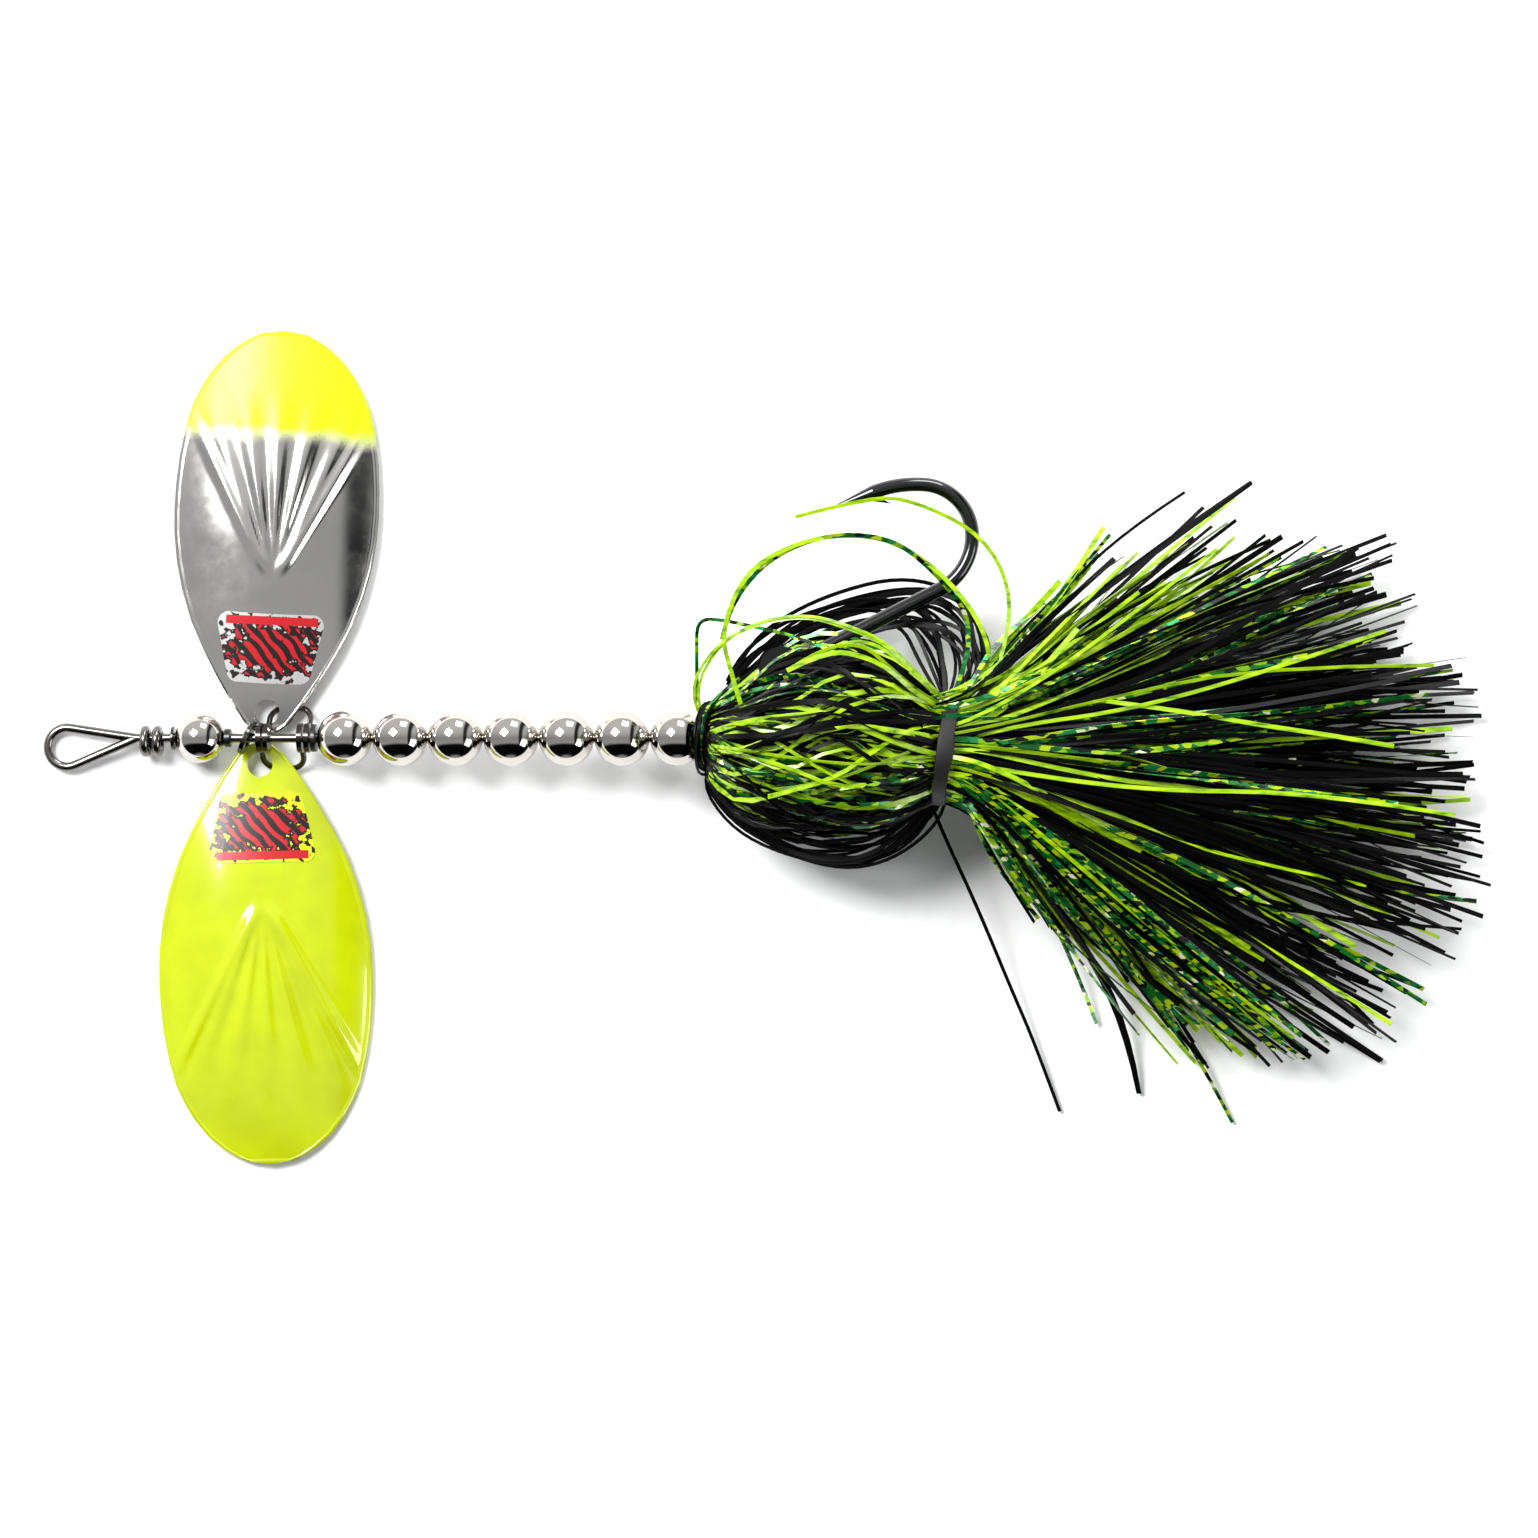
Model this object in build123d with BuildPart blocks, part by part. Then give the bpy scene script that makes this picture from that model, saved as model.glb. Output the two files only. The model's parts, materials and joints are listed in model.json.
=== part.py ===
"""In-line spinner lure with two fluted blades, a row of beads, a banded flash skirt and a single hook.

The lure lies on a flat surface: nose bead, blades, skirt and tail touch it, and the shaft climbs towards the
tail. X runs from the line tie to the tail, Y across, Z up, in millimetres. The origin is the middle of the
lure's footprint, on the surface.
"""

import os
from math import asin, atan2, cos, degrees, pi, radians, sin, tan

from build123d import *

# --- shaft ---------------------------------------------------------------------------------------
shaft_tilt = 7.0  # degrees that the lying shaft climbs towards the tail
wire_r = 0.65
loop_r = 2.8  # centre line of the line tie's round front
loop_drop = 1.3  # how far the loop's centre stands to the side of the shaft
loop_legs_meet = 13.6  # where the loop's two legs come together
coil_r = 1.62  # centre line of the wrapped turns
coil_hang = 0.45  # the wrapped turns sit this far off the shaft
coil_pitch = 1.75
coil_turns = 2
coil_start = 14.9
eye_r = 2.1  # centre line of the rear eye
eye_behind_hub = 3.7108

# --- beads and washers ---------------------------------------------------------------------------
running_fit = 0.06  # radial play of everything that spins on the shaft
front_bead_r = 3.6
front_bead_at = 22.6
nose_washer_r = 1.7
nose_washer_t = 0.4
bush_r = 1.3
bush_t = 0.9
side_gap = 0.08  # play along the shaft between neighbours
bead_r = 4.0
bead_count = 8
bead_gap = 0.01
row_behind_clevis = 0.5333  # free shaft between the second clevis and the row
rear_washer_r = 2.0
rear_washer_t = 0.75
cup_washer_r = 2.35
cup_washer_t = 0.7
cup_washer_hole_r = 1.15
cup_washer_behind_bush = 1.8909
cup_washer_lean = 24.0  # degrees that the loose washer leans on the shaft

# --- clevises ------------------------------------------------------------------------------------
clevis_wire_r = 0.42
clevis_reach = 6.1  # from the shaft to the middle of the bow
clevis_width = 5.9  # between the two ears
clevis_corner_r = 2.3
clevis_ear_r = 2.1
clevis_ear_t = 0.7
clevis_slope = 44.0  # degrees that each bow hangs below the level
clevis_behind_washer = 1.55
clevis_step = 1.0  # the second clevis sits this much further back

# --- blades --------------------------------------------------------------------------------------
blade_length = 59.7  # the chartreuse blade
blade_half_width = 15.35
nickel_blade_length = 57.2
nickel_blade_half_width = 14.7
blade_t = 0.55
blade_hole_r = 1.8
blade_hole_in = 3.45  # from the blade's small end to the middle of its hole
blade_hole_out = 3.8  # from the shaft to the middle of each blade's hole, seen from above
blade_arc_along = 143.0  # radius of the cup along the blade
blade_arc_across = 33.0  # and across it
dish_half_turn = 40.0  # degrees of the cup's arc drawn on each side of the hole
blade_rise = 10.8  # degrees that the small end climbs from its hole
blade_play = 0.98  # between the bow and the blade that hangs on it
hole_ahead = 0.1  # each hole sits this much ahead of its clevis's front arm
chartreuse_turn = 1.5  # degrees that the blade points towards the tail
nickel_turn = 2.7
label_t = 0.08
label_length = 10.0
label_width = 16.0
label_narrow_width = 11.5
label_corner_r = 1.6
label_from_end = 7.6
label_film = 0.005  # glue line under the label

# --- skirt ---------------------------------------------------------------------------------------
hub_r = 2.6
hub_length = 3.6
thread_r = 3.3
thread_length = 2.2
bulb_over_row = 7.0892  # the bulb reaches this far forward over the last bead
bulb_front = 16.0  # from the bulb's front edge to its widest ring
bulb_back = 16.4  # and on to its rear edge
bulb_r = 16.7
bulb_neck_clear = 1.9  # the neck's outside stands this far off the bead
bulb_waist_r = 7.6
bulb_wall = 3.2
lock_gap = 0.4  # between neighbouring locks of strands
hook_window = 42.0  # degrees left open on each side of the level for the hook
bulb_lock_names = [
    "skirt_black_top",
    "skirt_green_top",
    "skirt_chartreuse_side",
    "skirt_green_side",
    "skirt_black_bottom",
    "skirt_black_under_hook",
]
floor_gap = 0.15
band_width = 2.3
band_t = 1.0
bundle_r = 6.6
tail_lock_names = [
    "tail_chartreuse_upper",
    "tail_green_upper",
    "tail_black_upper",
    "tail_black_middle",
    "tail_green_lower",
    "tail_black_lower",
]
tail_reach = 75.6
tail_reach_share = [0.79, 0.95, 1.0, 0.985, 0.985, 0.88]
tail_first_angle = 34.0
tail_angle_step = 15.6
tail_root_pitch = 2.1
tail_fill = 0.78  # share of its pitch that a lock of tail strands takes

# --- split ring and hook -------------------------------------------------------------------------
ring_section = 0.9
ring_width = 1.6
hook_wire_r = 1.03
hook_eye_hole_r = 1.45
hook_eye_ahead = 4.4  # of the shaft's rear eye
hook_eye_y = 9.7
hook_angle = 27.0  # degrees between the hook's shank and the shaft, seen from above
hook_shank = 25.1
hook_heel_r = 8.55
hook_heel_turn = 64.0
hook_crown_r = 7.3
hook_crown_turn = 85.0
hook_throat_r = 17.0
hook_throat_turn = 25.0
hook_barb_t = 1.0
hook_point_length = 6.6
hook_point_r = 0.12

# --- places worked out from the sizes above --------------------------------------------------------
along = Vector(cos(radians(shaft_tilt)), 0, sin(radians(shaft_tilt)))
upward = Vector(-sin(radians(shaft_tilt)), 0, cos(radians(shaft_tilt)))
climb = tan(radians(shaft_tilt))


def shaft_height(x):
    """How high the shaft's centre line is above the surface at x."""
    return front_bead_r + (x - front_bead_at) * climb


def on_shaft(x):
    """The point of the shaft's centre line at x."""
    return Vector(x, 0, shaft_height(x))


def across_shaft(x):
    """The plane square to the shaft at x, with its normal towards the tail."""
    return Plane(origin=on_shaft(x), x_dir=(0, 1, 0), z_dir=along)


def beside_shaft(x):
    """The plane through the shaft at x that lies level across the lure."""
    return Plane(origin=on_shaft(x), x_dir=along, z_dir=upward)


shaft_axis = Axis(on_shaft(0), along)
bore_r = wire_r + running_fit
front_bead_half = (front_bead_r**2 - bore_r**2) ** 0.5
bead_half = (bead_r**2 - bore_r**2) ** 0.5
bead_step = (2 * bead_r + bead_gap) * along.X
bush_at = front_bead_at + front_bead_half + side_gap
cup_washer_at = bush_at + bush_t + cup_washer_behind_bush
clevis_at = cup_washer_at + cup_washer_t + clevis_behind_washer
rear_washer_at = clevis_at + clevis_step + clevis_width + row_behind_clevis
first_bead_at = rear_washer_at + rear_washer_t + side_gap + bead_half
last_bead_back = first_bead_at + (bead_count - 1) * bead_step + bead_half * along.X
hub_start = last_bead_back + side_gap
eye_at = hub_start + hub_length + eye_behind_hub
bulb_start = hub_start - bulb_over_row
bulb_widest_at = bulb_start + bulb_front
bulb_end = bulb_widest_at + bulb_back
bulb_neck_r = bead_r + bulb_neck_clear
hook_eye_x = eye_at - hook_eye_ahead
parts = {}


def keep(part, name):
    """Gives a finished piece its name and puts it with the others."""
    part.label = name
    parts[name] = part


def turned(x, radius, length, name, hole_r=bore_r, lean=0.0):
    """A washer, bush or tube that starts at x on the shaft."""
    normal = along * cos(radians(lean)) - Vector(0, sin(radians(lean)), 0)
    with BuildPart() as piece:
        with BuildSketch(Plane(origin=on_shaft(x), x_dir=upward, z_dir=normal)):
            Circle(radius)
            Circle(hole_r, mode=Mode.SUBTRACT)
        extrude(amount=length)
        fillet(piece.edges().filter_by(GeomType.CIRCLE), min(0.12, length / 4))
    keep(piece.part, name)


def ball(x, radius, name):
    """A drilled ball on the shaft."""
    with BuildPart(across_shaft(x)) as piece:
        Sphere(radius)
        Hole(bore_r)
    keep(piece.part, name)


# --- shaft wire: line tie, wrapped turns, straight shaft and rear eye --------------------------------
front = beside_shaft(0)
eye_neck = (eye_at - eye_r * 2) / along.X
eye_centre = eye_at / along.X
shaft_begin = coil_start - coil_pitch
loop_centre = Vector(loop_r + wire_r, -loop_drop)
legs = Vector(loop_legs_meet, 0) - loop_centre
leg_swing = radians(90) - asin(loop_r / legs.length)
legs_dir = atan2(legs.Y, legs.X)
with BuildPart() as shaft_wire:
    for turn_way in (1, -1):
        leg_end_angle = legs_dir + turn_way * leg_swing
        leg_end = loop_centre + Vector(cos(leg_end_angle), sin(leg_end_angle)) * loop_r
        half_way = (leg_end_angle + turn_way * pi) / 2
        arc_middle = loop_centre + Vector(cos(half_way), sin(half_way)) * loop_r
        with BuildLine(front) as leg_line:
            Line((loop_legs_meet, 0), (leg_end.X, leg_end.Y))
            ThreePointArc((leg_end.X, leg_end.Y), (arc_middle.X, arc_middle.Y), (wire_r, -loop_drop))
        leg_wire = leg_line.wires()[0]
        with BuildSketch(Plane(origin=leg_wire @ 0, z_dir=leg_wire % 0)):
            Circle(wire_r)
        sweep(path=leg_wire)
    with BuildSketch(across_shaft(shaft_begin * along.X)):
        Circle(wire_r)
    extrude(amount=eye_neck - shaft_begin)
    for turn in range(coil_turns):
        turn_centre = front.from_local_coords((coil_start + turn * coil_pitch, -coil_hang, 0))
        with BuildSketch(Plane(origin=turn_centre, x_dir=along, z_dir=upward)):
            with Locations((0, coil_r)):
                Circle(wire_r)
        revolve(axis=Axis(turn_centre, along))
    eye_middle = front.from_local_coords((eye_centre, 0, 0))
    with BuildSketch(Plane(origin=eye_middle, x_dir=along, z_dir=along.cross(upward))):
        with Locations((-eye_r, 0)):
            Circle(wire_r)
    revolve(axis=Axis(eye_middle, upward))
    with BuildSketch(across_shaft(0).offset(eye_neck)):
        Circle(wire_r)
    extrude(amount=eye_centre - eye_neck - eye_r)
keep(shaft_wire.part, "shaft_wire")

# --- beads, bush and washers ----------------------------------------------------------------------
ball(front_bead_at, front_bead_r, "front_bead")
nose_washer_at = front_bead_at - front_bead_half - side_gap - nose_washer_t
turned(nose_washer_at, nose_washer_r, nose_washer_t, "nose_washer")
turned(bush_at, bush_r, bush_t, "thrust_bush")
turned(cup_washer_at, cup_washer_r, cup_washer_t, "cup_washer", cup_washer_hole_r, cup_washer_lean)
turned(rear_washer_at, rear_washer_r, rear_washer_t, "rear_washer")
for number in range(bead_count):
    ball(first_bead_at + number * bead_step, bead_r, f"body_bead_{number + 1}")


# --- clevises -------------------------------------------------------------------------------------
def clevis(x, side, name):
    """A wire stirrup that spins on the shaft and hangs to one side: side is 1 for +Y and -1 for -Y."""
    out = Vector(0, side * cos(radians(clevis_slope)), 0) - upward * sin(radians(clevis_slope))
    bow_plane = Plane(origin=on_shaft(x), x_dir=along, z_dir=along.cross(out))
    with BuildPart() as piece:
        with BuildLine(bow_plane) as bow:
            FilletPolyline(
                (0, clevis_ear_r * 0.7),
                (0, clevis_reach),
                (clevis_width, clevis_reach),
                (clevis_width, clevis_ear_r * 0.7),
                radius=clevis_corner_r,
            )
        with BuildSketch(Plane(origin=bow.wires()[0] @ 0, z_dir=bow.wires()[0] % 0)):
            Circle(clevis_wire_r)
        sweep()
        for ear in (0, clevis_width):
            with BuildSketch(across_shaft(x).offset(ear - clevis_ear_t / 2)):
                Circle(clevis_ear_r)
            extrude(amount=clevis_ear_t)
        with BuildSketch(across_shaft(x).offset(-clevis_ear_t)):
            Circle(bore_r)
        extrude(amount=clevis_width + 2 * clevis_ear_t, mode=Mode.SUBTRACT)
    keep(piece.part, name)
    return bow_plane


bow_chartreuse = clevis(clevis_at, -1, "clevis_chartreuse")
bow_nickel = clevis(clevis_at + clevis_step, 1, "clevis_nickel")


# --- blades ---------------------------------------------------------------------------------------
def blade_frame(bow_plane, side, hole_x, hole_out, turn):
    """A blade's plane at its hole: x along the blade to the tip, z out of the convex face."""
    bow = bow_plane.from_local_coords((0, clevis_reach, 0))
    seat = (clevis_wire_r + blade_t / 2 + blade_play) / cos(radians(blade_rise))
    height = bow.Z + seat + (hole_out - abs(bow.Y)) * tan(radians(blade_rise))
    outward = Vector(sin(radians(turn)), side * cos(radians(turn)), 0)
    tip_dir = outward * cos(radians(blade_rise)) + Vector(0, 0, sin(radians(blade_rise)))
    normal = Vector(0, 0, cos(radians(blade_rise))) - outward * sin(radians(blade_rise))
    return Plane(origin=(hole_x, side * hole_out, height), x_dir=tip_dir, z_dir=normal)


def blade_outline(length, half_width):
    """A blade's egg-shaped outline, with its small end behind the hole."""
    end = -blade_hole_in
    widest = end + length * 0.55
    shoulder = end + length * 0.85
    with BuildSketch() as outline:
        with BuildLine():
            Spline(
                (end, 0),
                (end + length * 0.085, half_width * 0.367),
                (end + length * 0.275, half_width * 0.782),
                (widest, half_width),
                tangents=((0.25, 1), (1, 0)),
            )
            side = TangentArc((widest, half_width), (shoulder, half_width * 0.79), tangent=(1, 0))
            TangentArc(side @ 1, (end + length, 0), tangent=side % 1)
            mirror(about=Plane.XZ)
        make_face()
        Circle(blade_hole_r, mode=Mode.SUBTRACT)
    return outline.sketch


def label_outline():
    """The rounded trapezoid of the clear label."""
    start = label_from_end - blade_hole_in
    with BuildSketch() as outline:
        with BuildLine():
            Polyline(
                (start, -label_narrow_width / 2),
                (start + label_length, -label_width / 2),
                (start + label_length, label_width / 2),
                (start, label_narrow_width / 2),
                close=True,
            )
        make_face()
        fillet(outline.vertices(), label_corner_r)
    return outline.sketch


def dished(frame, outline, thickness, lift, name):
    """A sheet dished along and across the blade, cut to an outline drawn in the frame."""
    lean = radians(dish_half_turn)
    hub = frame.from_local_coords((0, 0, -blade_arc_along))
    start_dir = frame.z_dir * cos(lean) - frame.x_dir * sin(lean)
    travel = frame.x_dir * cos(lean) + frame.z_dir * sin(lean)
    depth = blade_length**2 / (2 * blade_arc_along) + blade_half_width**2 / (2 * blade_arc_across)
    with BuildPart() as sheet:
        with BuildSketch(Plane(origin=hub + start_dir * blade_arc_along, x_dir=frame.y_dir, z_dir=travel)):
            with Locations((0, -blade_arc_across)):
                Circle(blade_arc_across + lift + thickness / 2)
                Circle(blade_arc_across + lift - thickness / 2, mode=Mode.SUBTRACT)
            Rectangle(2.4 * blade_half_width, 2 * blade_half_width, mode=Mode.INTERSECT)
        revolve(axis=Axis(hub, frame.y_dir), revolution_arc=2 * dish_half_turn)
        with BuildSketch(frame):
            add(outline)
        extrude(amount=depth, both=True, mode=Mode.INTERSECT)
    keep(sheet.part, name)


blade_places = {
    "chartreuse": (bow_chartreuse, -1, clevis_at - hole_ahead, blade_hole_out, chartreuse_turn),
    "nickel": (bow_nickel, 1, clevis_at + clevis_step - hole_ahead, blade_hole_out, nickel_turn),
}
blade_sizes = {
    "chartreuse": (blade_length, blade_half_width),
    "nickel": (nickel_blade_length, nickel_blade_half_width),
}
label_lift = (blade_t + label_t) / 2 + label_film
for colour, place in blade_places.items():
    hung = blade_frame(*place)
    dished(hung, blade_outline(*blade_sizes[colour]), blade_t, 0, f"blade_{colour}")
    dished(hung, label_outline(), label_t, label_lift, f"label_{colour}")

# --- skirt: hub, thread, bulb of strands, elastic band, bundle and tail ---------------------------------
turned(hub_start, hub_r, hub_length, "skirt_hub", wire_r)
thread_start = hub_start + (hub_length - thread_length) / 2
turned(thread_start, thread_r, thread_length, "tying_thread", hub_r)

lock_angles = [hook_window, 90, 138, 192, 248, 300, 360 - hook_window]
floor_cut = Location((bulb_widest_at, 0, floor_gap - bulb_r))
for name, low, high in zip(bulb_lock_names, lock_angles, lock_angles[1:]):
    out = Vector(0, cos(radians(low)), 0) + upward * sin(radians(low))
    with BuildPart() as lock:
        with BuildSketch(Plane(origin=on_shaft(0), x_dir=along, z_dir=along.cross(out))):
            with BuildLine():
                start = bulb_start / along.X
                widest = bulb_widest_at / along.X
                end = bulb_end / along.X
                swell = (start + widest) / 2
                shrink = (widest + end) / 2
                inner = bulb_r - bulb_wall
                outer_front = ThreePointArc((start, bulb_neck_r), (swell, bulb_r * 0.835), (widest, bulb_r))
                outer_back = ThreePointArc((widest, bulb_r), (shrink, bulb_r * 0.89), (end, bulb_waist_r))
                Line((end, bulb_waist_r), (end, bulb_waist_r - 1.2))
                ThreePointArc((end, bulb_waist_r - 1.2), (shrink, inner * 0.86), (widest, inner))
                ThreePointArc((widest, inner), (swell, inner * 0.8), (start, bulb_neck_r - 1.1))
                Line((start, bulb_neck_r - 1.1), (start, bulb_neck_r))
            make_face()
        revolve(axis=shaft_axis, revolution_arc=high - low - degrees(lock_gap / bulb_waist_r))
        with Locations(floor_cut):
            Box(4 * bulb_r, 4 * bulb_r, 2 * bulb_r, mode=Mode.SUBTRACT)
    keep(lock.part, name)

band_start = bulb_end + 0.5
turned(band_start, bulb_waist_r + 0.1, band_width, "elastic_band", bulb_waist_r - band_t)
turned(band_start - 0.3, bundle_r - 0.05, band_width + 0.6, "strand_bundle", 0.4)

tail_x = band_start + band_width + 2.6
tail_z = shaft_height(tail_x)
for number, name in enumerate(tail_lock_names):
    angle = radians(tail_first_angle - tail_angle_step * number)
    heading = Vector(cos(angle), sin(angle), 0)
    root_y = tail_root_pitch * ((len(tail_lock_names) - 1) / 2 - number)
    reach = tail_reach * tail_reach_share[number]
    pitch_at_tip = tail_root_pitch + reach * radians(tail_angle_step)
    stations = [(0.0, tail_z, 11.0), (0.45, tail_z * 0.66, 15.0), (1.0, 5.2, 9.6)]
    with BuildPart() as lock:
        for share, height, depth in stations:
            centre = Vector(tail_x, root_y, height) + heading * (reach * share)
            pitch = tail_root_pitch + (pitch_at_tip - tail_root_pitch) * share
            with BuildSketch(Plane(origin=centre, x_dir=(-heading.Y, heading.X, 0), z_dir=heading)):
                Ellipse(pitch * tail_fill / 2, depth / 2)
        loft(ruled=True)
    keep(lock.part, name)

# --- split ring and hook --------------------------------------------------------------------------
link_z = shaft_height(eye_at)
rear_eye = Vector(eye_at, 0, link_z)
hook_eye = Vector(hook_eye_x, hook_eye_y, link_z)
link = hook_eye - rear_eye
ring_r = link.length / 2
ring_centre = (rear_eye + hook_eye) * 0.5
ring_plane = Plane(origin=ring_centre, x_dir=link, z_dir=link.cross(Vector(0, 0, 1)))
with BuildPart() as split_ring:
    with BuildSketch(ring_plane):
        Circle(ring_r + ring_section / 2)
        Circle(ring_r - ring_section / 2, mode=Mode.SUBTRACT)
    extrude(amount=ring_width / 2, both=True)
    fillet(split_ring.edges().filter_by(GeomType.CIRCLE), 0.3)
keep(split_ring.part, "split_ring")

hook_eye_r = hook_eye_hole_r + hook_wire_r
shank_dir = (cos(radians(hook_angle)), sin(radians(hook_angle)), 0)
hook_plane = Plane(origin=hook_eye, x_dir=shank_dir, z_dir=(0, 0, 1))
with BuildPart() as hook:
    with BuildLine(hook_plane) as bend:
        shank = Line((hook_eye_r, 0), (hook_shank, 0))
        heel = JernArc(start=shank @ 1, tangent=shank % 1, radius=hook_heel_r, arc_size=hook_heel_turn)
        crown = JernArc(start=heel @ 1, tangent=heel % 1, radius=hook_crown_r, arc_size=hook_crown_turn)
        throat = JernArc(start=crown @ 1, tangent=crown % 1, radius=hook_throat_r, arc_size=hook_throat_turn)
    hook_wire = bend.wires()[0]
    with BuildSketch(Plane(origin=hook_wire @ 0, z_dir=hook_wire % 0)):
        Circle(hook_wire_r)
    sweep(path=hook_wire)
    point_plane = Plane(origin=hook_wire @ 1, z_dir=hook_wire % 1)
    with BuildSketch(point_plane):
        Circle(hook_wire_r)
    with BuildSketch(point_plane.offset(hook_point_length)):
        Circle(hook_point_r)
    loft()
    with BuildSketch(hook_plane):
        with Locations((0, 0)):
            Circle(hook_eye_r + hook_wire_r * 0.8)
            Circle(hook_eye_hole_r, mode=Mode.SUBTRACT)
    extrude(amount=hook_wire_r * 0.8, both=True)
    barb_plane = Plane(origin=hook_wire @ 1, x_dir=hook_wire % 1, z_dir=(0, 0, 1))
    with BuildSketch(barb_plane):
        Polygon((-0.2, 0.6), (2.6, 0.1), (-1.9, 2.5), align=None)
    extrude(amount=hook_barb_t / 2, both=True)
keep(hook.part, "hook")

# --- the whole lure, moved so that the origin is the middle of its footprint ----------------------------
boxes = [part.bounding_box() for part in parts.values()]
low = [min(getattr(box.min, axis) for box in boxes) for axis in "XYZ"]
high = [max(getattr(box.max, axis) for box in boxes) for axis in "XYZ"]
to_origin = Location((-(low[0] + high[0]) / 2, -(low[1] + high[1]) / 2, -low[2]))
os.makedirs("parts", exist_ok=True)
for name, part in parts.items():
    placed = part.moved(to_origin)
    placed.label = name
    export_step(placed, f"parts/{name}.step")
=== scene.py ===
"""Looks of an in-line spinner lure: fluted blades, steel beads, a single hook and a banded flash skirt.

Every length below is in millimetres unless a name says otherwise, and is turned to metres where a mesh is made.
"""

import json
import logging
import math
import random
from dataclasses import dataclass, field
from enum import Enum
from typing import Callable, Iterable, Optional

import bpy
from mathutils import Matrix, Vector, noise

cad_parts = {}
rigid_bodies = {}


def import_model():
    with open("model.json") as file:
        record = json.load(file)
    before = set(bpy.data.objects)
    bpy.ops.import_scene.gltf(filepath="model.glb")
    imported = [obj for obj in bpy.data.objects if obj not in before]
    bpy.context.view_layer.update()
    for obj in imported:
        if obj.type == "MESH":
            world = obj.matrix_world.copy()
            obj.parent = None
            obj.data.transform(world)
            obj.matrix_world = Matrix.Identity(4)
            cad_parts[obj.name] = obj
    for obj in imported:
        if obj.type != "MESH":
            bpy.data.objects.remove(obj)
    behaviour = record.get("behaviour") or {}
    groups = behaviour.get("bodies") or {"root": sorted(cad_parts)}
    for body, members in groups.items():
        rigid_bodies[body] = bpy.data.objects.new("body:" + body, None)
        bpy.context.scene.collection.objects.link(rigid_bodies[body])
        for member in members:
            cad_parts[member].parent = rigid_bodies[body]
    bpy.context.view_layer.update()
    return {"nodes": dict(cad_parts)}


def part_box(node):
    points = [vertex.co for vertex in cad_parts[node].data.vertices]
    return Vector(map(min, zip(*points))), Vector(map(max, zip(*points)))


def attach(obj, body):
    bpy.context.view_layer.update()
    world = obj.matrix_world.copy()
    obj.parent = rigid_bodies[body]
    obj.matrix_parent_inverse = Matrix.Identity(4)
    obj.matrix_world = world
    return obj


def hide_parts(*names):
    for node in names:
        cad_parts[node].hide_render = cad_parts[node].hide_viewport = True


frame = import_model()
MM = 0.001
HUB_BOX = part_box("skirt_hub")
# Millimetres from the frame's origin across to the shaft; places listed below are measured from the shaft.
MIDLINE = Vector((0, (HUB_BOX[0][1] + HUB_BOX[1][1]) / (2 * MM), 0))
GOLDEN = 0.618034  # steps of this share of a range never bunch up
log = logging.getLogger("lure")


# --- small helpers -------------------------------------------------------------------------------
def linear(colour: str) -> tuple[float, float, float, float]:
    """Turns an sRGB hex colour such as "#E8F600" to opaque linear RGBA."""
    parts = [int(colour[i : i + 2], 16) / 255 for i in (1, 3, 5)]
    r, g, b = [p / 12.92 if p <= 0.04045 else ((p + 0.055) / 1.055) ** 2.4 for p in parts]
    return r, g, b, 1.0


def add_node(
    tree: bpy.types.NodeTree,
    kind: str,
    settings: Optional[dict] = None,
    values: Optional[dict] = None,
    links: Optional[dict] = None,
    stops: Optional[list] = None,
) -> bpy.types.Node:
    """Adds a shader node, sets it up and joins it.

    Args:
        tree: the node tree it goes in.
        kind: the node's type name, without its ShaderNode.
        settings: attributes of the node.
        values: input sockets to set, by name or number.
        links: output sockets to join, or nodes whose first output is meant, by the input that each feeds.
        stops: for a colour ramp, (position, linear colour) pairs.

    Returns:
        The new node.
    """
    made = tree.nodes.new("ShaderNode" + kind)
    for name, value in (settings or {}).items():
        setattr(made, name, value)
    for name, value in (values or {}).items():
        made.inputs[name].default_value = value
    for name, source in (links or {}).items():
        socket = source.outputs[0] if isinstance(source, bpy.types.Node) else source
        tree.links.new(socket, made.inputs[name])
    for i, (position, colour) in enumerate(stops or []):
        elements = made.color_ramp.elements
        stop = elements[i] if i < len(elements) else elements.new(position)
        stop.position = position
        stop.color = colour
    return made


def start_material(
    name: str,
) -> tuple[bpy.types.Material, bpy.types.NodeTree, bpy.types.Node, bpy.types.NodeSocket]:
    """Makes a material and gives it back with its node tree, its main shader and its object coordinates."""
    made = bpy.data.materials.new(name)
    made.use_nodes = True
    tree = made.node_tree
    here = add_node(tree, "TexCoord").outputs["Object"]
    return made, tree, tree.nodes["Principled BSDF"], here


def select_only(obj: bpy.types.Object) -> None:
    """Leaves obj as the one selected and active object."""
    for other in bpy.context.view_layer.objects:
        other.select_set(other == obj)
    bpy.context.view_layer.objects.active = obj


def apply_modifiers(obj: bpy.types.Object) -> None:
    """Applies all of obj's modifiers in order."""
    select_only(obj)
    for modifier in list(obj.modifiers):
        bpy.ops.object.modifier_apply(modifier=modifier.name)


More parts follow.
